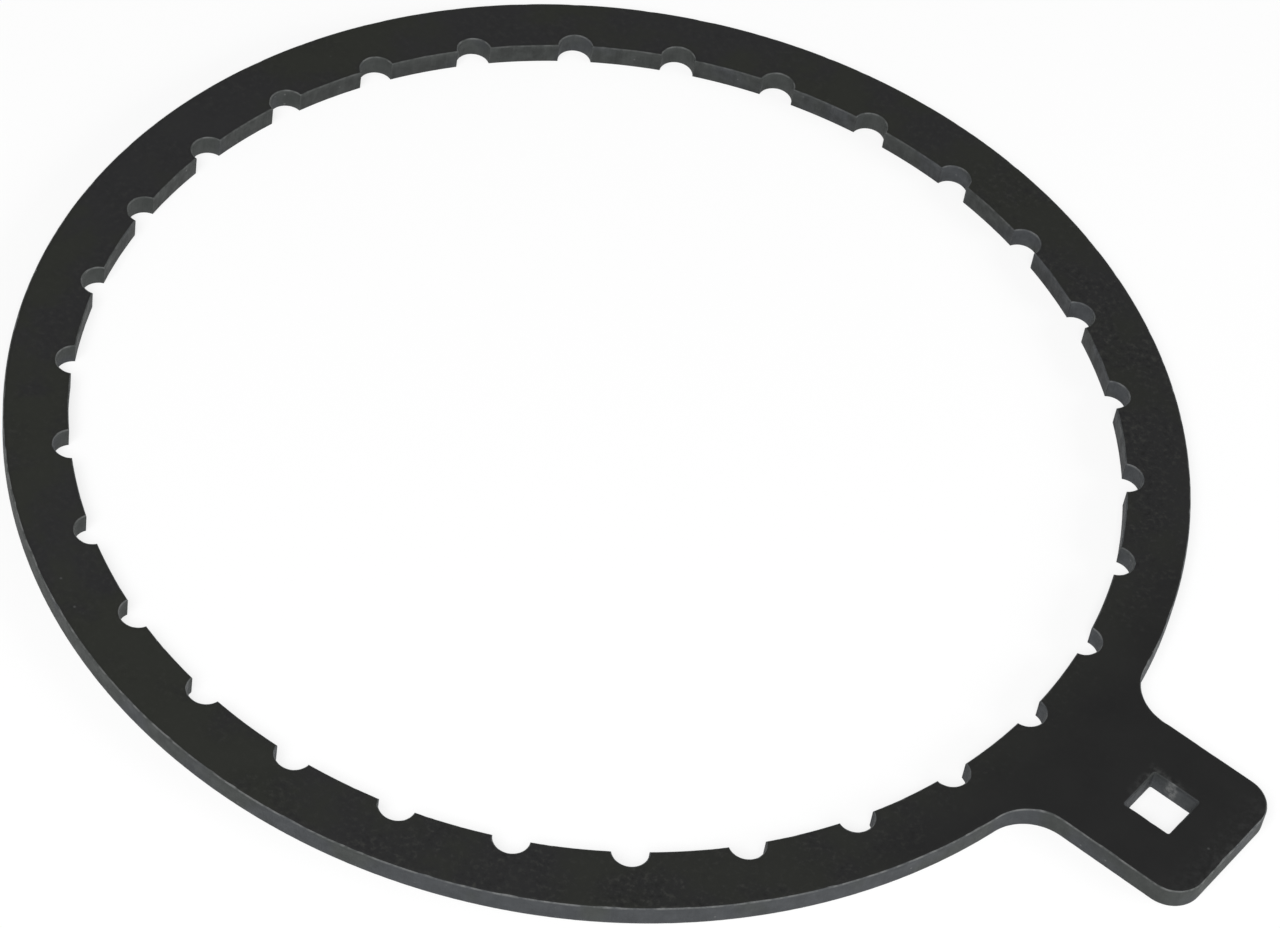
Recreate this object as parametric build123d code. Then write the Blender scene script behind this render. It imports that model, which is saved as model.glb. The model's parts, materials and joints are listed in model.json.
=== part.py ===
from build123d import *
import math
import os

# A flat ring spanner for filter housings, cut from one steel plate. Millimetres.
# The origin is the centre of the ring, half way through the plate. +X runs along the tab, and +Z is up
# when the plate lies flat.

# The plate
PLATE_THICKNESS = 6.0
EDGE_BREAK = 0.3  # the burr taken off every cut edge, at 45 degrees

# The ring, from the lands that sit round the housing out to its rim
LAND_RADIUS = 135.0
RING_WIDTH = 16.5

# The notches that take the housing's ribs: part of a circle each, evenly spaced, one of them on the tab's line
NOTCH_COUNT = 30
NOTCH_RADIUS = 4.55
NOTCH_CENTRE_INSET = 0.3  # from the lands in to the notch's centre, so a notch is a little under a half round

# The tab
TAB_WIDTH = 42.0
TAB_LENGTH = 43.8  # from the ring's rim to the tip
TAB_CORNER_RADIUS = 8.2
ROOT_FILLET_RADIUS = 12.7

# The square hole for a half-inch drive
DRIVE_SQUARE = 13.0
DRIVE_CORNER_RADIUS = 0.5
DRIVE_FROM_TIP = 20.7  # from the tab's tip to the hole's centre


def plate_outline():
    """The ring's rim and the tab, joined by a fillet on each side of the tab's root."""
    rim_radius = LAND_RADIUS + RING_WIDTH
    tip = rim_radius + TAB_LENGTH
    tab = Pos(tip / 2, 0) * Rectangle(tip, TAB_WIDTH)
    outline = Circle(rim_radius) + tab
    tips = outline.vertices().group_by(Axis.X)[-1]
    outline = fillet(tips, TAB_CORNER_RADIUS)
    root_x = math.sqrt(rim_radius**2 - (TAB_WIDTH / 2) ** 2)
    roots = outline.vertices().sort_by_distance((root_x, 0, 0))[:2]
    return fillet(roots, ROOT_FILLET_RADIUS)


def housing_opening():
    """The round opening with its notches, cut as one shape."""
    notch_circle = LAND_RADIUS - NOTCH_CENTRE_INSET
    notches = PolarLocations(notch_circle, NOTCH_COUNT) * Circle(NOTCH_RADIUS)
    return Circle(LAND_RADIUS) + notches


def drive_hole():
    """The square hole, with the small corner radius that the cut leaves."""
    centre_x = LAND_RADIUS + RING_WIDTH + TAB_LENGTH - DRIVE_FROM_TIP
    return Pos(centre_x, 0) * RectangleRounded(DRIVE_SQUARE, DRIVE_SQUARE, DRIVE_CORNER_RADIUS)


def wrench_plate():
    """The finished plate: the flat shape, pushed out half the thickness each way, its edges broken."""
    face = plate_outline() - housing_opening() - drive_hole()
    plate = extrude(face, amount=PLATE_THICKNESS / 2, both=True)
    faces = plate.edges().filter_by_position(Axis.Z, -PLATE_THICKNESS, PLATE_THICKNESS).group_by(Axis.Z)
    return chamfer(faces[0] + faces[-1], EDGE_BREAK)


os.makedirs("parts", exist_ok=True)
plate = wrench_plate()
export_step(plate, "parts/wrench_plate.step")
print("volume", round(plate.volume, 1), "solids", len(plate.solids()), "valid", plate.is_valid)
print("box", plate.bounding_box())
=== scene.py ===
import json
import math

import bmesh
import bpy
import numpy as np
from bpy.props import FloatProperty, FloatVectorProperty, IntProperty, PointerProperty
from mathutils import Matrix, Vector


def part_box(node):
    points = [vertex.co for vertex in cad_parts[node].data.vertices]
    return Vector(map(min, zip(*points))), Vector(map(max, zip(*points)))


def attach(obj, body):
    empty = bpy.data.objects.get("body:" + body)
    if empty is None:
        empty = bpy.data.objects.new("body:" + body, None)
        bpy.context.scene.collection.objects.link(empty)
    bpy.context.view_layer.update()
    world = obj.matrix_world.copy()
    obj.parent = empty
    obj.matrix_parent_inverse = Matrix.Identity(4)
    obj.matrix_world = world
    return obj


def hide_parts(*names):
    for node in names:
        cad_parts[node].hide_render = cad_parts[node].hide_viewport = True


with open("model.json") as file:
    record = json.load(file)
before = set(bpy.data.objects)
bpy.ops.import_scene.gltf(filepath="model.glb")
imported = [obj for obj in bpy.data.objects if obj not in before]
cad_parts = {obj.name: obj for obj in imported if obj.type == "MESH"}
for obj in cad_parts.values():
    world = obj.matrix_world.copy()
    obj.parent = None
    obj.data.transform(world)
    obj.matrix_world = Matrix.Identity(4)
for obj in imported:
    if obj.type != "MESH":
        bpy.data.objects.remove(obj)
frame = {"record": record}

bl_info = {
    "name": "Filter housing wrench",
    "version": (1, 0, 0),
    "blender": (4, 5, 0),
    "location": "View3D > Sidebar > Wrench",
    "description": "Builds a notched ring wrench for filter housings, cut from blackened steel plate",
    "category": "Add Mesh",
}

# The origin is the centre of the ring, half way through the plate. +X runs along the tab and +Z is up.
MOUNTS = {mount["name"]: mount for mount in frame["record"]["mounts"]}
LOW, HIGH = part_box("wrench_plate")
LAND_RADIUS = MOUNTS["ring_lands"]["dims"]["r_mm"] / 1000
DRIVE_CENTRE = MOUNTS["drive_square"]["pos_m"][0]

# How finely the outline is stepped. A notch and the land beside it are one of the ring's equal shares, and
# the outer side of the ring has as many steps to a share.
NOTCH_STEPS = 28
LAND_STEPS = 38
ROOT_STEPS = 32
NECK_STEPS = NOTCH_STEPS + LAND_STEPS - ROOT_STEPS
SIDE_STEPS = 52
CORNER_STEPS = 24
TIP_STEPS = 50
ROUND_STEPS = 3
WALL_STEPS = 6
FACE_ROWS = 3

# How much painted shade and dark streaking darken each kind of cut wall, the lands inside the ring most, and how far
# its edges are paled, partly by wear and partly as a painted highlight, both from 0 to 1
RIM_SHADE_AND_EDGE = (0.0, 1.0)
LAND_SHADE_AND_EDGE = (0.33, 0.35)
NOTCH_SHADE_AND_EDGE = (0.04, 0.75)
DRIVE_SHADE_AND_EDGE = (0.05, 0.06)


class PlateSizes(bpy.types.PropertyGroup):
    """The plate's own sizes."""

    rim_radius: FloatProperty(
        name="Rim radius", description="From the ring's centre to its outside", default=-LOW.x, unit="LENGTH"
    )
    land_radius: FloatProperty(
        name="Land radius", description="From the ring's centre to the lands", default=LAND_RADIUS, unit="LENGTH"
    )
    thickness: FloatProperty(
        name="Thickness", description="Thickness of the plate", default=HIGH.z - LOW.z, unit="LENGTH"
    )
    notch_count: IntProperty(name="Notches", description="Notches round the opening", default=30, min=3)
    notch_radius: FloatProperty(
        name="Notch radius", description="Radius of each round notch", default=0.00455, unit="LENGTH"
    )
    notch_inset: FloatProperty(
        name="Notch inset",
        description="From the lands in to each notch's centre",
        default=0.0003,
        unit="LENGTH",
    )
    tab_width: FloatProperty(name="Tab width", description="Width across the tab", default=0.042, unit="LENGTH")
    tip: FloatProperty(
        name="Tab tip", description="From the ring's centre to the tab's tip", default=HIGH.x, unit="LENGTH"
    )
    tab_corner: FloatProperty(
        name="Tab corner", description="Radius of the tab's two corners", default=0.0082, unit="LENGTH"
    )
    root_fillet: FloatProperty(
        name="Root fillet",
        description="Radius between the ring's rim and the tab's sides",
        default=0.0127,
        unit="LENGTH",
    )
    drive_square: FloatProperty(
        name="Drive square", description="Across the square hole's flats", default=0.013, unit="LENGTH"
    )
    drive_corner: FloatProperty(
        name="Drive corner", description="Radius in the square hole's corners", default=0.0005, unit="LENGTH"
    )
    drive_centre: FloatProperty(
        name="Drive centre",
        description="From the ring's centre to the square hole's centre",
        default=DRIVE_CENTRE,
        unit="LENGTH",
    )
    edge_round: FloatProperty(
        name="Edge rounding", description="Radius left on every cut edge", default=0.0003, unit="LENGTH"
    )
    edge_band: FloatProperty(
        name="Edge band",
        description="Strip of each face, next to an edge, that was handled when the burr came off",
        default=0.0012,
        unit="LENGTH",
    )
    ripple_depth: FloatProperty(
        name="Ripple depth", description="Deepest of the drag lines left on a cut wall", default=0.00003,
        precision=6, unit="LENGTH"
    )
    ripple_trail: FloatProperty(
        name="Ripple trail",
        description="How far a drag line trails behind the cut by the time it reaches the underside",
        default=0.0012,
        unit="LENGTH",
    )


class FinishColours(bpy.types.PropertyGroup):
    """The colours of the blackened steel."""

    face_olive: FloatVectorProperty(
        name="Face, olive", description="The plate's faces where the oxide is brownish", subtype="COLOR", size=3,
        default=(0.0144, 0.0156, 0.0122), min=0, max=1
    )
    face_blue: FloatVectorProperty(
        name="Face, blue", description="The plate's faces where the oxide is bluish", subtype="COLOR", size=3,
        default=(0.0140, 0.0141, 0.0148), min=0, max=1
    )
    mill_scale: FloatVectorProperty(
        name="Mill scale", description="Fine flecks of scale on the faces", subtype="COLOR", size=3,
        default=(0.0360, 0.0368, 0.0325), min=0, max=1
    )
    # Painted shade: this dark colour darkens the tab's faces and the ring towards the tab, and it also colours the
    # scale pits and the strip by each edge
    handled: FloatVectorProperty(
        name="Handled", description="The tab's faces, darkened by oily hands", subtype="COLOR", size=3,
        default=(0.0072, 0.0073, 0.0073), min=0, max=1
    )
    cut_green: FloatVectorProperty(
        name="Cut wall, green grey", description="Cut walls where the oxide is greenish", subtype="COLOR", size=3,
        default=(0.0415, 0.0458, 0.0436), min=0, max=1
    )
    # Lighter than the green grey, so wherever it lies it also paints light on the walls
    cut_blue: FloatVectorProperty(
        name="Cut wall, blue grey", description="Cut walls where the heat left them bluish", subtype="COLOR",
        size=3, default=(0.0465, 0.0505, 0.0550), min=0, max=1
    )
    # Soot and painted shade: this colour darkens the streaks and patches, and it also paints shade on the lands, the
    # lower walls and the tab's sides
    soot: FloatVectorProperty(
        name="Soot", description="What darkens the cut walls in streaks and patches", subtype="COLOR", size=3,
        default=(0.0100, 0.0108, 0.0104), min=0, max=1
    )
    # Wear and painted highlight: this pale colour marks specks, chips and scuffs of wear, and it also paints a
    # highlight along the rounded edges
    worn: FloatVectorProperty(
        name="Worn edge", description="Edges and specks rubbed back towards bare steel", subtype="COLOR", size=3,
        default=(0.125, 0.128, 0.127), min=0, max=1
    )


class StudioSettings(bpy.types.PropertyGroup):
    """The floor, the lamps and the camera."""

    floor_colour: FloatVectorProperty(
        name="Floor", description="Colour of the floor", subtype="COLOR", size=3, default=(0.88, 0.88, 0.88),
        min=0, max=1
    )
    floor_lift: FloatProperty(
        name="Floor lift", description="Share of the seen floor that is plain white", default=0.75, min=0, max=1,
        subtype="FACTOR"
    )
    room_level: FloatProperty(name="Room", description="Light from the room all round", default=0.22, min=0)
    key_power: FloatProperty(
        name="Key lamp", description="Power of the lamp beside the camera", default=74, unit="POWER"
    )
    side_power: FloatProperty(
        name="Side lamp", description="Power of the lamp beyond the tab", default=12, unit="POWER"
    )
    camera_azimuth: FloatProperty(
        name="Azimuth", description="Direction of the camera round the ring, from looking along +Y",
        default=math.radians(34.004), subtype="ANGLE"
    )
    camera_elevation: FloatProperty(
        name="Elevation", description="Angle at which the camera looks down", default=math.radians(49.138),
        subtype="ANGLE"
    )
    camera_roll: FloatProperty(
        name="Roll", description="Turn of the camera about its own line of sight", default=math.radians(7.902),
        subtype="ANGLE"
    )
    camera_distance: FloatProperty(
        name="Distance", description="From the camera to the point it looks at", default=1.15757, unit="LENGTH"
    )
    camera_aim: FloatVectorProperty(
        name="Aim", description="Point that the camera looks at", size=3, default=(-0.012719, -0.030079, 0.0),
        subtype="TRANSLATION"
    )
    camera_lens: FloatProperty(name="Lens", description="Focal length in millimetres", default=128.989)
    camera_shift: FloatProperty(
        name="Shift", description="Sideways shift of the picture, as a share of its width", default=0.12
    )


def run_line(start, end, steps):
    """Points spread evenly from start towards end, the end left out."""
    share = np.arange(steps)[:, None] / steps
    return np.asarray(start) * (1 - share) + np.asarray(end) * share


def run_arc(centre, radius, start, end, steps):
    """Centre plus radius times the cosine and sine of angles spread evenly from start to end, the end left out."""
    turn = start + (end - start) * np.arange(steps) / steps
    return np.asarray(centre) + radius * np.stack([np.cos(turn), np.sin(turn)], axis=1)


def root_centre(sizes):
    """Where the upper root fillet's centre lies: its radius out from the rim and from the tab's side."""
    y = sizes.tab_width / 2 + sizes.root_fillet
    return math.sqrt((sizes.rim_radius + sizes.root_fillet) ** 2 - y**2), y


def tab_edge(sizes, inset):
    """Down one side of the tab, round its tip and back up the other: straight runs and quarter circles, every
    one moved in by the inset."""
    half = sizes.tab_width / 2
    neck = root_centre(sizes)[0]
    corner = sizes.tab_corner
    far = sizes.tip - corner
    return np.concatenate(
        [
            run_line((neck, inset - half), (far, inset - half), SIDE_STEPS),
            run_arc((far, corner - half), corner - inset, -math.pi / 2, 0, CORNER_STEPS),
            run_line((sizes.tip - inset, corner - half), (sizes.tip - inset, half - corner), TIP_STEPS),
            run_arc((far, half - corner), corner - inset, 0, math.pi / 2, CORNER_STEPS),
            run_line((far, half - inset), (neck, half - inset), SIDE_STEPS),
        ]
    )


def rim_edge(sizes, inset):
    """The upper root fillet, the rim the long way round, and the lower root fillet: three arcs that meet
    smoothly, moved in by the inset."""
    neck, side = root_centre(sizes)
    bearing = math.atan2(side, neck)
    steps = (sizes.notch_count - 2) * (NOTCH_STEPS + LAND_STEPS)
    fillet = sizes.root_fillet + inset
    return np.concatenate(
        [
            run_arc((neck, side), fillet, 1.5 * math.pi, math.pi + bearing, ROOT_STEPS),
            run_arc((0, 0), sizes.rim_radius - inset, bearing, 2 * math.pi - bearing, steps),
            run_arc((neck, -side), fillet, math.pi - bearing, math.pi / 2, ROOT_STEPS),
        ]
    )


def outside_loop(sizes, inset):
    """The plate's outside, anticlockwise: the tab's edge, then the rim's."""
    return np.concatenate([tab_edge(sizes, inset), rim_edge(sizes, inset)])


def opening_loop(sizes, inset):
    """The notched opening, anticlockwise from the middle of the notch on the tab's line. A land lies on a circle
    about the ring's centre and a notch on a circle about its own, both grown by the inset, and the two circles'
    crossing gives where each ends."""
    land = sizes.land_radius + inset
    notch = sizes.notch_radius + inset
    reach = sizes.land_radius - sizes.notch_inset
    half = math.acos((land**2 + reach**2 - notch**2) / (2 * land * reach))
    open_turn = math.atan2(land * math.sin(half), land * math.cos(half) - reach)
    share = 2 * math.pi / sizes.notch_count
    one = np.concatenate(
        [
            run_arc((reach, 0), notch, -open_turn, open_turn, NOTCH_STEPS),
            run_arc((0, 0), land, half, share - half, LAND_STEPS),
        ]
    )
    turn = share * np.arange(sizes.notch_count)[:, None]
    x = one[:, 0] * np.cos(turn) - one[:, 1] * np.sin(turn)
    y = one[:, 0] * np.sin(turn) + one[:, 1] * np.cos(turn)
    return np.roll(np.stack([x.ravel(), y.ravel()], axis=1), -NOTCH_STEPS // 2, axis=0)


def neck_line(sizes, inset, start, end, steps):
    """Points across the tab's root, from one share of its half width to another."""
    neck = root_centre(sizes)[0]
    half = sizes.tab_width / 2 - inset
    return run_line((neck, half * start), (neck, half * end), steps)


def ring_outside(sizes, inset):
    """The outer side of the ring's face, anticlockwise from the tab's middle: half the neck, the rim with its
    fillets, and the other half of the neck."""
    return np.concatenate(
        [
            neck_line(sizes, inset, 0, 1, NECK_STEPS),
            rim_edge(sizes, inset),
            neck_line(sizes, inset, -1, 0, NECK_STEPS),
        ]
    )


def tab_outside(sizes, inset):
    """The outer side of the tab's face, anticlockwise: the tab's edge and the whole neck."""
    return np.concatenate([tab_edge(sizes, inset), neck_line(sizes, inset, 1, -1, 2 * NECK_STEPS)])


def drive_loop(sizes, inset):
    """The square hole, as a distance for each direction from its centre. The direction is that of the tab's
    outer point in the same place in line. Along a flat the distance is the half width over the larger of the
    direction's cosine and sine, and in a corner it is where the ray meets the corner's circle."""
    aim = tab_outside(sizes, sizes.edge_band) - (sizes.drive_centre, 0)
    aim = aim / np.hypot(aim[:, 0], aim[:, 1])[:, None]
    folded = np.abs(aim)
    half = sizes.drive_square / 2 + inset
    corner = sizes.drive_corner + inset
    flat = half / folded.max(axis=1)
    middle = half - corner
    along = middle * folded.sum(axis=1)
    spare = np.maximum(along**2 - 2 * middle**2 + corner**2, 0)
    in_corner = folded.min(axis=1) * flat > middle
    reach = np.where(in_corner, along + np.sqrt(spare), flat)
    return aim * reach[:, None] + (sizes.drive_centre, 0)


def edge_profile(sizes):
    """A wall's section from the top face to the underside, as insets and heights: a strip of the face, a
    quarter circle, the straight wall, and the same again upside down."""
    top = sizes.thickness / 2
    turn = np.linspace(0, math.pi / 2, ROUND_STEPS + 1)
    inset = sizes.edge_round * (1 - np.sin(turn))
    height = top - sizes.edge_round * (1 - np.cos(turn))
    wall = np.linspace(height[-1], -height[-1], WALL_STEPS + 1)[1:-1]
    insets = np.concatenate([[sizes.edge_band], inset, np.zeros(len(wall)), inset[::-1], [sizes.edge_band]])
    heights = np.concatenate([[top], height, wall, -height[::-1], [-top]])
    return insets, heights


def drag_lines(length, heights, sizes, seed):
    """The ripple that the cut leaves, between 0 and 1: a sum of sine waves round the outline, each with a whole
    number of waves, that start shallow under the top edge, deepen downwards and trail behind by the square of
    the depth."""
    chance = np.random.default_rng(seed)
    total = length[-1]
    count = np.rint(total / chance.uniform(0.0014, 0.0075, 28))
    phase = chance.uniform(0, 2 * math.pi, 28)
    depth = (sizes.thickness / 2 - heights) / sizes.thickness
    place = length[None, :-1] + sizes.ripple_trail * depth[:, None] ** 2
    wave = np.sin(2 * math.pi * place[..., None] / total * count + phase).sum(axis=2)
    wave = 0.5 + 0.5 * np.clip(wave / (2.2 * math.sqrt(14)), -1, 1)
    return wave * (0.3 + 0.7 * depth[:, None])


def edge_nicks(length, worn, seed):
    """How much wider than drawn the rounding is round an outline, from 0: the square of what is left of a sum of
    sine waves above a level, so that it is nothing in most places and swells here and there."""
    chance = np.random.default_rng(seed)
    total = length[-1]
    count = np.rint(total / chance.uniform(0.002, 0.02, 20))
    phase = chance.uniform(0, 2 * math.pi, 20)
    wave = np.sin(2 * math.pi * length[:-1, None] / total * count + phase).sum(axis=1) / math.sqrt(10)
    return worn * np.clip((wave + 0.2) / 2, 0, 1) ** 2


def cut_wall(loop, sizes, seed, worn):
    """A profile carried along a closed outline. Each row of the section is the outline at that row's inset. The
    drag lines push the straight wall in along the way that the outline moves when its inset grows, and the nicks
    widen and deepen the rounding of the upper edge."""
    insets, heights = edge_profile(sizes)
    rows = np.stack([loop(sizes, inset) for inset in insets])
    outline = loop(sizes, 0)
    step = np.roll(outline, -1, axis=0) - outline
    length = np.concatenate([[0], np.cumsum(np.hypot(step[:, 0], step[:, 1]))])
    inward = (loop(sizes, sizes.edge_round) - outline) / sizes.edge_round
    on_wall = (insets < sizes.edge_round * 0.3)[:, None]
    rounded = ((np.arange(len(insets)) > 0) & (np.arange(len(insets)) <= ROUND_STEPS + 1))[:, None]
    nicks = edge_nicks(length, worn, seed + 1) * rounded
    push = sizes.ripple_depth * drag_lines(length, heights, sizes, seed) * on_wall + nicks * insets[:, None]
    rows = rows + push[..., None] * inward
    high = heights[:, None] - nicks * (sizes.thickness / 2 - heights[:, None])
    edge = np.broadcast_to(insets[:, None], rows.shape[:2])
    return np.concatenate([rows, high[..., None]], axis=2), edge


def flat_face(inside, outside, height, sizes):
    """A flat grid: straight lines from each point of the inner outline to its partner on the outer one."""
    share = np.linspace(0, 1, FACE_ROWS + 1)[:, None, None]
    rows = inside * (1 - share) + outside * share
    high = np.full(rows.shape[:2] + (1,), height)
    return np.concatenate([rows, high], axis=2), np.full(rows.shape[:2], sizes.edge_band)


def ring_quads(rows, columns, start, flip):
    """The four-sided faces of a grid that closes on itself: each joins a point, the one below, the one below and
    beside, and the one beside."""
    row, column = np.meshgrid(np.arange(rows - 1), np.arange(columns), indexing="ij")
    beside = (column + 1) % columns
    quads = np.stack(
        [row * columns + column, (row + 1) * columns + column, (row + 1) * columns + beside, row * columns + beside],
        axis=-1,
    ).reshape(-1, 4)
    return start + (quads[:, ::-1] if flip else quads)


def plate_mesh(sizes):
    """The whole plate as one closed skin: three cut walls, and for each side a ring face and a tab face."""
    top = sizes.thickness / 2
    band = sizes.edge_band
    opening = opening_loop(sizes, band)
    ring = ring_outside(sizes, band)
    drive = drive_loop(sizes, band)
    tab = tab_outside(sizes, band)
    grids = [
        (*cut_wall(outside_loop, sizes, 3, 0.5), False, RIM_SHADE_AND_EDGE),
        (*cut_wall(opening_loop, sizes, 5, 0.4), True, LAND_SHADE_AND_EDGE),
        (*cut_wall(drive_loop, sizes, 7, 0.5), True, DRIVE_SHADE_AND_EDGE),
        (*flat_face(opening, ring, top, sizes), False, None),
        (*flat_face(opening, ring, -top, sizes), True, None),
        (*flat_face(drive, tab, top, sizes), False, None),
        (*flat_face(drive, tab, -top, sizes), True, None),
    ]
    points, edges, quads, walls, corners, finishes = [], [], [], [], [], []
    start = 0
    for grid, edge, flip, finish in grids:
        rows, columns = edge.shape
        points.append(grid.reshape(-1, 3))
        edges.append(edge.ravel())
        quads.append(ring_quads(rows, columns, start, flip))
        row = np.repeat(np.arange(rows - 1), columns)
        walls.append(np.where((row > 0) & (row < rows - 2), 2, 1) if finish else np.zeros_like(row))
        column = np.tile(np.arange(columns), rows)
        place = (column + NOTCH_STEPS // 2) % (NOTCH_STEPS + LAND_STEPS)
        in_opening = finish == LAND_SHADE_AND_EDGE
        sharp = in_opening & ((place == 0) | (place == NOTCH_STEPS))
        corners.append(np.where(sharp, column + 1, 0))
        in_notch = (in_opening & (place < NOTCH_STEPS))[:, None]
        finishes.append(np.where(in_notch, NOTCH_SHADE_AND_EDGE, finish or (0.0, 0.0)))
        start += grid.shape[0] * grid.shape[1]
    return tuple(np.concatenate(part) for part in (points, edges, quads, walls, corners, finishes))


def make_plate(sizes, face_finish, wall_finish):
    """Puts the plate's points and faces into one object, joins the grids where they meet, and marks the upright
    edges where a land meets a notch as sharp."""
    points, edge, quads, walls, corners, finishes = plate_mesh(sizes)
    mesh = bpy.data.meshes.new("wrench_plate_finished")
    mesh.from_pydata(points, [], quads)
    mesh.materials.append(face_finish)
    mesh.materials.append(wall_finish)
    mesh.polygons.foreach_set("material_index", (walls == 2).astype(np.int32))
    mesh.polygons.foreach_set("use_smooth", walls > 0)
    for name, values in (("from_edge", edge), ("soot", finishes[:, 0]), ("rub_and_highlight", finishes[:, 1])):
        mesh.attributes.new(name, "FLOAT", "POINT").data.foreach_set("value", values.astype(np.float32))
    mesh.attributes.new("corner_line", "INT", "POINT").data.foreach_set("value", corners.astype(np.int32))
    skin = bmesh.new()
    skin.from_mesh(mesh)
    bmesh.ops.remove_doubles(skin, verts=skin.verts, dist=1e-6)
    skin.to_mesh(mesh)
    skin.free()
    line = np.zeros(len(mesh.vertices), np.int32)
    mesh.attributes["corner_line"].data.foreach_get("value", line)
    ends = np.zeros(2 * len(mesh.edges), np.int32)
    mesh.edges.foreach_get("vertices", ends)
    ends = line[ends.reshape(-1, 2)]
    mesh.edges.foreach_set("use_edge_sharp", (ends[:, 0] > 0) & (ends[:, 0] == ends[:, 1]))
    mesh.attributes.remove(mesh.attributes["corner_line"])
    mesh.update()
    plate = bpy.data.objects.new("wrench_plate_finished", mesh)
    bpy.context.scene.collection.objects.link(plate)
    return plate


def new_finish(name):
    """An empty material, its node tree and its shader."""
    finish = bpy.data.materials.new(name)
    finish.use_nodes = True
    return finish, finish.node_tree, finish.node_tree.nodes["Principled BSDF"]


def add_node(tree, kind, inputs=(), **settings):
    """A node with its settings made, and each input given as a value or joined to another node's output."""
    node = tree.nodes.new(kind)
    for name, value in settings.items():
        setattr(node, name, value)
    for name, value in dict(inputs).items():
        if isinstance(value, bpy.types.NodeSocket):
            tree.links.new(value, node.inputs[name])
        else:
            node.inputs[name].default_value = value
    return node


def noise_at(tree, place, scale, detail=2.0, roughness=0.5):
    """A noise pattern with that many lumps to a metre."""
    return add_node(
        tree, "ShaderNodeTexNoise", {"Vector": place, "Scale": scale, "Detail": detail, "Roughness": roughness}
    ).outputs["Fac"]


def spread(tree, value, low, high, to_low=0.0, to_high=1.0, smooth=False):
    """Takes a value from one range to another, held at both ends."""
    return add_node(
        tree,
        "ShaderNodeMapRange",
        {"Value": value, "From Min": low, "From Max": high, "To Min": to_low, "To Max": to_high},
        interpolation_type="SMOOTHSTEP" if smooth else "LINEAR",
    ).outputs["Result"]


def combine(tree, operation, first, second):
    """One number from two."""
    return add_node(tree, "ShaderNodeMath", {0: first, 1: second}, operation=operation).outputs[0]


def blend_colours(tree, share, first, second):
    """A colour between two, by the share."""
    mix = add_node(tree, "ShaderNodeMix", data_type="RGBA")
    for socket, value in ((mix.inputs[0], share), (mix.inputs[6], first), (mix.inputs[7], second)):
        if isinstance(value, bpy.types.NodeSocket):
            tree.links.new(value, socket)
        else:
            socket.default_value = value
    return mix.outputs[2]


def with_alpha(colour):
    """A colour as a node takes it."""
    return (*colour, 1.0)


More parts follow.
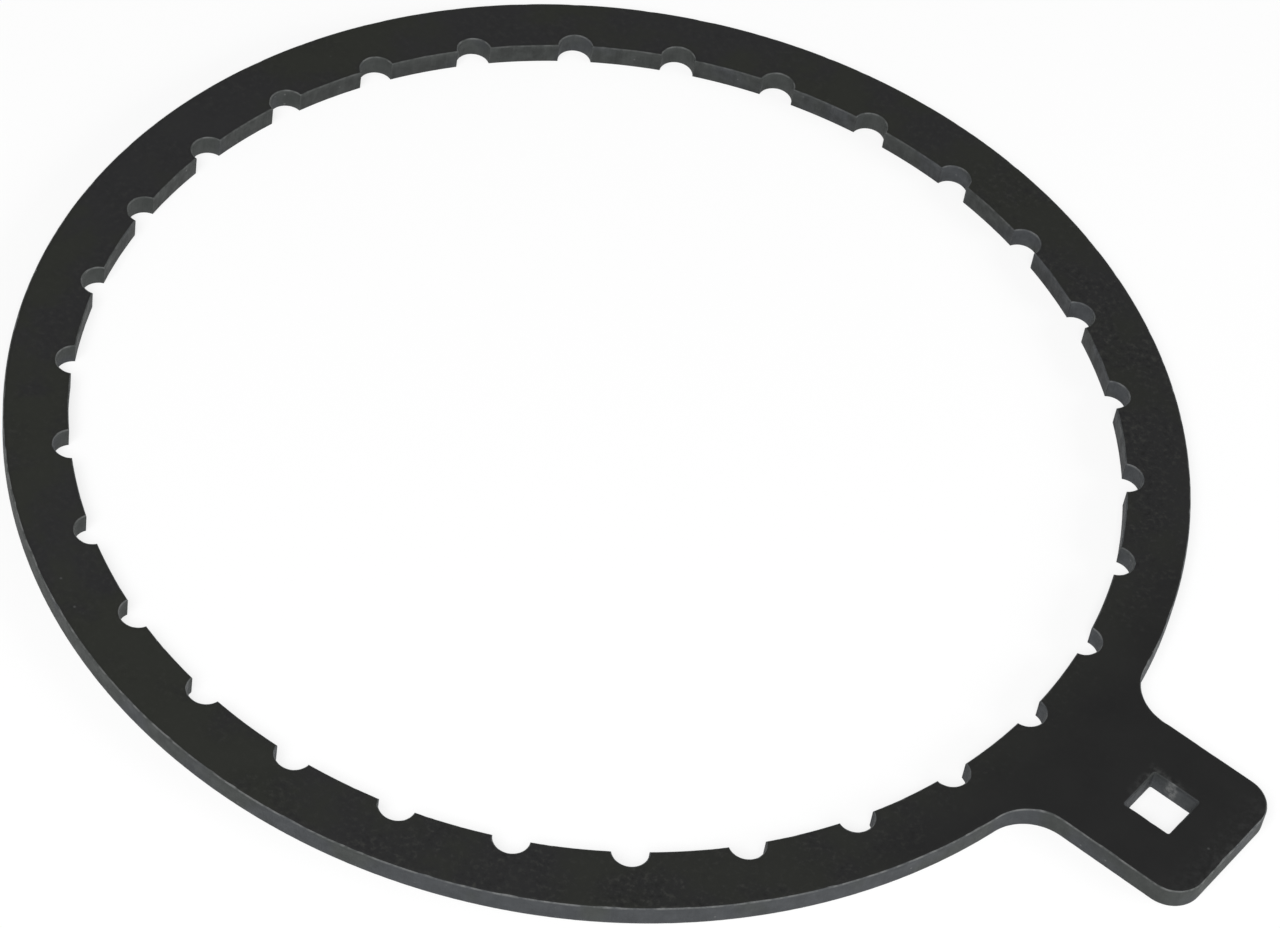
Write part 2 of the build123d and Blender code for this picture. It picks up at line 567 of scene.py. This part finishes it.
def face_material(colours, sizes):
    """The plate's two faces: a dark oxide that drifts between olive and blue grey, with fine flecks of mill scale and
    dark pits in places, a few pale specks, a strip by each edge left a little darker, painted shade that darkens the
    tab and, less, the ring towards it, and light scuffs beside the square hole and along the tip."""
    finish, tree, shader = new_finish("blackened_plate_face")
    place = add_node(tree, "ShaderNodeTexCoord").outputs["Object"]
    axes = add_node(tree, "ShaderNodeSeparateXYZ", {0: place}).outputs
    broad = noise_at(tree, place, 17.0, 3.0)
    patches = noise_at(tree, place, 85.0, 4.0, 0.6)
    flecks = noise_at(tree, place, 620.0, 5.0, 0.72)
    drift = combine(tree, "ADD", combine(tree, "MULTIPLY", broad, 0.6), combine(tree, "MULTIPLY", patches, 0.4))
    drift = spread(tree, drift, 0.44, 0.56, smooth=True)
    colour = blend_colours(tree, drift, with_alpha(colours.face_olive), with_alpha(colours.face_blue))
    rough_side = spread(tree, axes["X"], -0.03, 0.09, 0.3, 1.0, smooth=True)
    scale = combine(tree, "MULTIPLY", spread(tree, flecks, 0.52, 0.66), spread(tree, patches, 0.42, 0.58, 0.3, 1.0))
    colour = blend_colours(tree, combine(tree, "MULTIPLY", scale, rough_side), colour, with_alpha(colours.mill_scale))
    pits = combine(tree, "MULTIPLY", spread(tree, flecks, 0.48, 0.37), spread(tree, patches, 0.40, 0.58, 0.3, 1.0))
    pits = combine(tree, "MULTIPLY", pits, rough_side)
    # Painted shade: the tab's faces are darkened by position, and the ring less so as it nears the tab
    painted_shade_and_darkening = spread(tree, axes["X"], sizes.land_radius - 0.025, sizes.rim_radius, 0.0, 0.95, smooth=True)
    painted_shade_and_darkening = combine(tree, "MAXIMUM", painted_shade_and_darkening, spread(tree, axes["X"], -0.06, sizes.land_radius, 0.0, 0.42))
    # The strip by each edge is also drawn a little darker, and the scale pits join the same mask
    edge = add_node(tree, "ShaderNodeAttribute", attribute_name="from_edge").outputs["Fac"]
    painted_shade_and_darkening = combine(tree, "MAXIMUM", painted_shade_and_darkening, spread(tree, edge, 0.0003, sizes.edge_band, 0.4, 0.0))
    painted_shade_and_darkening = combine(tree, "MAXIMUM", painted_shade_and_darkening, pits)
    colour = blend_colours(tree, painted_shade_and_darkening, colour, with_alpha(colours.handled))
    cells = add_node(tree, "ShaderNodeTexVoronoi", {"Vector": place, "Scale": 110.0}, feature="F1")
    specks = spread(tree, cells.outputs["Distance"], 0.02, 0.05, 0.3, 0.0)
    specks = combine(tree, "MULTIPLY", specks, spread(tree, noise_at(tree, place, 60.0, 1.0), 0.55, 0.62))
    along = combine(tree, "SUBTRACT", axes["X"], sizes.drive_centre)
    reach = combine(tree, "MAXIMUM", combine(tree, "ABSOLUTE", along, 0.0), combine(tree, "ABSOLUTE", axes["Y"], 0.0))
    half = sizes.drive_square / 2
    beside = spread(tree, reach, half, half + 0.0024, 1.0, 0.0)
    one_side = spread(tree, combine(tree, "SUBTRACT", axes["Y"], along), 0.003, 0.009)
    beside = combine(tree, "MULTIPLY", beside, one_side)
    by_tip = spread(tree, axes["X"], sizes.tip - 0.009, sizes.tip - 0.001, 0.0, 0.28)
    scuffs = combine(
        tree,
        "MULTIPLY",
        combine(tree, "MAXIMUM", beside, by_tip),
        spread(tree, noise_at(tree, place, 600.0, 4.0, 0.65), 0.44, 0.66, 0.0, 0.28),
    )
    colour = blend_colours(tree, combine(tree, "MAXIMUM", specks, scuffs), colour, with_alpha(colours.worn))
    tree.links.new(colour, shader.inputs["Base Color"])
    tree.links.new(spread(tree, patches, 0.3, 0.7, 0.58, 0.46), shader.inputs["Roughness"])
    shader.inputs["Specular IOR Level"].default_value = 0.35
    bump = add_node(tree, "ShaderNodeBump", {"Height": flecks, "Strength": 0.4, "Distance": 0.00004})
    tree.links.new(bump.outputs["Normal"], shader.inputs["Normal"])
    return finish


def wall_material(colours, sizes):
    """The cut walls: fine upright streaks, because the pattern hardly changes with height, over slow changes between
    greenish and bluish grey and small dark patches. The bluish grey is lighter and leans towards the tab, so it also
    paints light on that side. Painted shade darkens the lands inside the ring, most towards the bottom, and the tab's
    sides. The rounded edges are paler in places, partly from wear and partly a painted highlight, and the square hole
    has a ragged dark top and a pale rub mark where a drive has turned."""
    finish, tree, shader = new_finish("blackened_cut_wall")
    place = add_node(tree, "ShaderNodeTexCoord").outputs["Object"]
    axes = add_node(tree, "ShaderNodeSeparateXYZ", {0: place}).outputs
    top = sizes.thickness / 2
    from_hole = add_node(
        tree, "ShaderNodeVectorMath", {0: place, 1: (sizes.drive_centre, 0.0, 0.0)}, operation="DISTANCE"
    ).outputs["Value"]
    in_hole = spread(tree, from_hole, sizes.drive_square * 0.8, sizes.drive_square * 0.85, 1.0, 0.0)
    upright = add_node(tree, "ShaderNodeMapping", {"Vector": place, "Scale": (1.0, 1.0, 0.08)}).outputs["Vector"]
    streaks = spread(tree, noise_at(tree, upright, 1300.0, 3.0, 0.6), 0.3, 0.7)
    smears = spread(tree, noise_at(tree, upright, 260.0, 2.0, 0.5), 0.36, 0.64, smooth=True)
    blotches = spread(tree, noise_at(tree, place, 300.0, 4.0, 0.62), 0.32, 0.68)
    # Partly painted light: the lighter blue grey is pushed towards the tab side so those walls read brighter, and it
    # is held back on the tab's own walls
    across = spread(tree, axes["X"], -0.09, 0.11, -0.12, 0.10)
    past_root = spread(tree, axes["X"], sizes.rim_radius, sizes.rim_radius + 0.015, 0.0, 0.14)
    past_root = combine(tree, "MULTIPLY", past_root, spread(tree, in_hole, 0.0, 1.0, 1.0, 0.0))
    heat_tint_and_light = combine(tree, "ADD", noise_at(tree, place, 60.0, 2.0), combine(tree, "SUBTRACT", across, past_root))
    heat_tint_and_light = spread(tree, heat_tint_and_light, 0.42, 0.58, smooth=True)
    colour = blend_colours(tree, heat_tint_and_light, with_alpha(colours.cut_green), with_alpha(colours.cut_blue))
    # Painted shade: the per-wall attribute darkens the lands inside the ring most, and it also deepens their streaks
    shade_and_soot = add_node(tree, "ShaderNodeAttribute", attribute_name="soot").outputs["Fac"]
    shade = combine(tree, "ADD", combine(tree, "MULTIPLY", streaks, 0.35), combine(tree, "MULTIPLY", blotches, 0.65))
    depth = spread(tree, shade_and_soot, 0.0, 0.4, 0.22, 0.62)
    shade = combine(tree, "MULTIPLY", spread(tree, shade, 0.2, 0.85, 1.0, 0.0), depth)
    colour = blend_colours(tree, shade, colour, with_alpha(colours.soot))
    # Darker towards the bottom of each wall, fading out under the top edge
    low_down = spread(tree, axes["Z"], top - 0.0019, top - 0.0004, 1.0, 0.25, smooth=True)
    shade_and_soot = combine(tree, "MULTIPLY", shade_and_soot, low_down)
    shade_and_soot = combine(tree, "MULTIPLY", shade_and_soot, spread(tree, noise_at(tree, place, 26.0, 1.0), 0.36, 0.64, 0.65, 1.35))
    shade_and_soot = combine(tree, "MULTIPLY", shade_and_soot, spread(tree, smears, 0.0, 1.0, 1.25, 0.75))
    # Painted shade on the tab's side walls, placed by position along the tab
    painted_shade_and_darkening = combine(
        tree,
        "MULTIPLY",
        spread(tree, axes["X"], sizes.rim_radius + 0.006, sizes.rim_radius + 0.016, 0.0, 0.15, smooth=True),
        spread(tree, axes["X"], sizes.tip - 0.012, sizes.tip - 0.004, 1.0, 0.0, smooth=True),
    )
    painted_shade_and_darkening = combine(tree, "MULTIPLY", painted_shade_and_darkening, spread(tree, in_hole, 0.0, 1.0, 1.0, 0.0))
    ragged = combine(tree, "ADD", axes["Z"], combine(tree, "MULTIPLY", blotches, 0.0011))
    ragged = combine(tree, "MULTIPLY", spread(tree, ragged, top - 0.0006, top + 0.0006, 0.0, 0.55), in_hole)
    shade_and_soot = combine(tree, "MAXIMUM", combine(tree, "MAXIMUM", shade_and_soot, painted_shade_and_darkening), ragged)
    colour = blend_colours(tree, shade_and_soot, colour, with_alpha(colours.soot))
    # Partly wear, partly painted highlight: the rounded top and bottom edges are paled, most on the rim and notches
    height = combine(tree, "ABSOLUTE", axes["Z"], 0.0)
    rub_and_highlight = spread(tree, height, top - 0.0005, top - 0.0001, 0.0, 0.85, smooth=True)
    rub_and_highlight = combine(tree, "MULTIPLY", rub_and_highlight, spread(tree, noise_at(tree, place, 380.0, 3.0), 0.4, 0.62, 0.12, 1.0))
    rub_and_highlight_share = add_node(tree, "ShaderNodeAttribute", attribute_name="rub_and_highlight").outputs["Fac"]
    rub_and_highlight = combine(tree, "MULTIPLY", rub_and_highlight, rub_and_highlight_share)
    mark_place = (sizes.drive_centre - 0.0011, sizes.drive_square / 2, 0.0005)
    from_mark = add_node(
        tree, "ShaderNodeVectorMath", {0: place, 1: mark_place}, operation="SUBTRACT"
    ).outputs["Vector"]
    from_mark = add_node(
        tree, "ShaderNodeVectorMath", {0: from_mark, 1: (1.0, 1.0, 0.55)}, operation="MULTIPLY"
    ).outputs["Vector"]
    from_mark = add_node(tree, "ShaderNodeVectorMath", {0: from_mark}, operation="LENGTH").outputs["Value"]
    mark = combine(
        tree,
        "MULTIPLY",
        spread(tree, from_mark, 0.0008, 0.0023, 1.0, 0.0, smooth=True),
        spread(tree, noise_at(tree, place, 900.0, 3.0, 0.7), 0.38, 0.58, 0.12, 1.0),
    )
    cells = add_node(tree, "ShaderNodeTexVoronoi", {"Vector": place, "Scale": 330.0}, feature="F1")
    chips = spread(tree, cells.outputs["Distance"], 0.05, 0.13, 0.7, 0.0)
    chips = combine(tree, "MULTIPLY", chips, spread(tree, noise_at(tree, place, 150.0, 1.0), 0.52, 0.60))
    rub_and_highlight = combine(tree, "MAXIMUM", combine(tree, "MAXIMUM", rub_and_highlight, mark), chips)
    colour = blend_colours(tree, rub_and_highlight, colour, with_alpha(colours.worn))
    tree.links.new(colour, shader.inputs["Base Color"])
    tree.links.new(spread(tree, blotches, 0.0, 1.0, 0.76, 0.60), shader.inputs["Roughness"])
    shader.inputs["Specular IOR Level"].default_value = 0.3
    rough = combine(tree, "ADD", combine(tree, "MULTIPLY", streaks, 0.6), combine(tree, "MULTIPLY", blotches, 0.4))
    bump = add_node(tree, "ShaderNodeBump", {"Height": rough, "Strength": 0.5, "Distance": 0.00005})
    tree.links.new(bump.outputs["Normal"], shader.inputs["Normal"])
    return finish


def floor_material(studio):
    """The floor: pale and matt, with part of what is seen of it lifted to plain white, so that only the shadow
    shows. Its underside lets sight through."""
    finish, tree, shader = new_finish("studio_floor")
    shader.inputs["Base Color"].default_value = with_alpha(studio.floor_colour)
    shader.inputs["Roughness"].default_value = 0.9
    shader.inputs["Specular IOR Level"].default_value = 0.0
    path = add_node(tree, "ShaderNodeLightPath").outputs
    seen = combine(tree, "MAXIMUM", path["Is Camera Ray"], path["Is Glossy Ray"])
    seen = combine(tree, "MAXIMUM", seen, path["Is Transmission Ray"])
    seen = combine(tree, "MULTIPLY", seen, studio.floor_lift)
    white = add_node(tree, "ShaderNodeEmission", {"Color": (1.0, 1.0, 1.0, 1.0), "Strength": 1.0})
    lifted = add_node(
        tree, "ShaderNodeMixShader", {0: seen, 1: shader.outputs["BSDF"], 2: white.outputs["Emission"]}
    )
    clear = add_node(tree, "ShaderNodeBsdfTransparent")
    under = add_node(tree, "ShaderNodeNewGeometry").outputs["Backfacing"]
    sides = add_node(tree, "ShaderNodeMixShader", {0: under, 1: lifted.outputs[0], 2: clear.outputs[0]})
    tree.links.new(sides.outputs[0], tree.nodes["Material Output"].inputs["Surface"])
    return finish


def make_floor(level, studio):
    """A wide round floor that sweeps up at its far edge: radius and height follow a line, then a quarter
    circle, turned about the upright axis."""
    flat, sweep = 4.0, 1.2
    bend = np.linspace(0, math.pi / 2, 13)
    radius = np.concatenate([[0.0005, 0.5, 1.5], flat + sweep * np.sin(bend)])
    height = np.concatenate([[0, 0, 0], sweep * (1 - np.cos(bend))]) + level
    turn = np.linspace(0, 2 * math.pi, 96, endpoint=False)
    points = np.stack(
        [
            radius[:, None] * np.cos(turn),
            radius[:, None] * np.sin(turn),
            np.broadcast_to(height[:, None], (len(radius), len(turn))),
        ],
        axis=-1,
    ).reshape(-1, 3)
    middle = np.arange(len(turn))
    mesh = bpy.data.meshes.new("studio_floor")
    mesh.from_pydata(points, [], [*ring_quads(len(radius), len(turn), 0, False).tolist(), middle.tolist()])
    mesh.materials.append(floor_material(studio))
    mesh.polygons.foreach_set("use_smooth", np.ones(len(mesh.polygons), bool))
    floor = bpy.data.objects.new("studio_floor", mesh)
    bpy.context.scene.collection.objects.link(floor)
    return floor


def add_lamp(name, power, width, depth, azimuth, elevation, distance):
    """A flat lamp that faces the plate's middle from a distance, in a direction round it and above it."""
    data = bpy.data.lights.new(name, "AREA")
    data.shape = "RECTANGLE"
    data.size, data.size_y = width, depth
    data.energy = power
    lamp = bpy.data.objects.new(name, data)
    azimuth, elevation = math.radians(azimuth), math.radians(elevation)
    back = Vector(
        (math.cos(azimuth) * math.cos(elevation), math.sin(azimuth) * math.cos(elevation), math.sin(elevation))
    )
    lamp.location = Vector((0.02, 0, 0)) + back * distance
    lamp.rotation_euler = back.to_track_quat("Z", "Y").to_euler()
    lamp.visible_camera = False
    bpy.context.scene.collection.objects.link(lamp)
    return lamp


class WRENCH_OT_cut_plate(bpy.types.Operator):
    """Cuts the notched ring with its tab and square hole, and finishes it in blackened steel"""

    bl_idname = "filter_wrench.cut_plate"
    bl_label = "Cut the plate"

    def execute(self, context):
        sizes = context.scene.wrench_sizes
        colours = context.scene.wrench_colours
        plate = make_plate(sizes, face_material(colours, sizes), wall_material(colours, sizes))
        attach(plate, "root")
        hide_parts("wrench_plate")
        return {"FINISHED"}


class WRENCH_OT_set_studio(bpy.types.Operator):
    """Lays the pale floor under the plate and sets the room's light and the lamps"""

    bl_idname = "filter_wrench.set_studio"
    bl_label = "Set the studio"

    def execute(self, context):
        studio = context.scene.wrench_studio
        make_floor(LOW.z - 0.00002, studio)
        world = bpy.data.worlds.new("studio_room")
        world.use_nodes = True
        room = world.node_tree.nodes["Background"]
        room.inputs["Color"].default_value = (1.0, 1.0, 1.0, 1.0)
        room.inputs["Strength"].default_value = studio.room_level
        context.scene.world = world
        add_lamp("key_lamp", studio.key_power, 1.9, 1.4, -70, 51, 2.6)
        add_lamp("side_lamp", studio.side_power, 0.9, 0.5, 25, 20, 1.6)
        context.scene.view_settings.view_transform = "Standard"
        return {"FINISHED"}


class WRENCH_OT_place_camera(bpy.types.Operator):
    """Places the camera at the photograph's viewing angle"""

    bl_idname = "filter_wrench.place_camera"
    bl_label = "Place the camera"

    def execute(self, context):
        studio = context.scene.wrench_studio
        turn, tilt = studio.camera_azimuth, studio.camera_elevation
        back = Vector((math.sin(turn) * math.cos(tilt), -math.cos(turn) * math.cos(tilt), math.sin(tilt)))
        data = bpy.data.cameras.new("camera")
        data.lens = studio.camera_lens
        data.sensor_width = 36.0
        data.shift_x = studio.camera_shift
        data.clip_start, data.clip_end = 0.01, 50.0
        camera = bpy.data.objects.new("camera", data)
        level = (-back).to_track_quat("-Z", "Y").to_matrix().to_4x4()
        place = Matrix.Translation(Vector(studio.camera_aim) + back * studio.camera_distance)
        camera.matrix_world = place @ level @ Matrix.Rotation(studio.camera_roll, 4, "Z")
        context.scene.collection.objects.link(camera)
        context.scene.camera = camera
        return {"FINISHED"}


class WRENCH_PT_panel(bpy.types.Panel):
    """Lists the wrench's sizes, colours and studio, and the buttons that build them"""

    bl_idname = "WRENCH_PT_panel"
    bl_label = "Filter housing wrench"
    bl_space_type = "VIEW_3D"
    bl_region_type = "UI"
    bl_category = "Wrench"

    def draw(self, context):
        scene = context.scene
        for group, button in (
            (scene.wrench_sizes, WRENCH_OT_cut_plate),
            (scene.wrench_colours, None),
            (scene.wrench_studio, WRENCH_OT_set_studio),
        ):
            box = self.layout.box()
            for name in group.__annotations__:
                box.prop(group, name)
            if button:
                box.operator(button.bl_idname)
        self.layout.operator(WRENCH_OT_place_camera.bl_idname)


CLASSES = (
    PlateSizes,
    FinishColours,
    StudioSettings,
    WRENCH_OT_cut_plate,
    WRENCH_OT_set_studio,
    WRENCH_OT_place_camera,
    WRENCH_PT_panel,
)


def register():
    for cls in CLASSES:
        bpy.utils.register_class(cls)
    bpy.types.Scene.wrench_sizes = PointerProperty(type=PlateSizes)
    bpy.types.Scene.wrench_colours = PointerProperty(type=FinishColours)
    bpy.types.Scene.wrench_studio = PointerProperty(type=StudioSettings)


def unregister():
    del bpy.types.Scene.wrench_studio
    del bpy.types.Scene.wrench_colours
    del bpy.types.Scene.wrench_sizes
    for cls in reversed(CLASSES):
        bpy.utils.unregister_class(cls)


def main():
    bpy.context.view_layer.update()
    register()
    bpy.ops.filter_wrench.cut_plate()
    bpy.ops.filter_wrench.set_studio()
    bpy.ops.filter_wrench.place_camera()


if __name__ == "__main__":
    main()
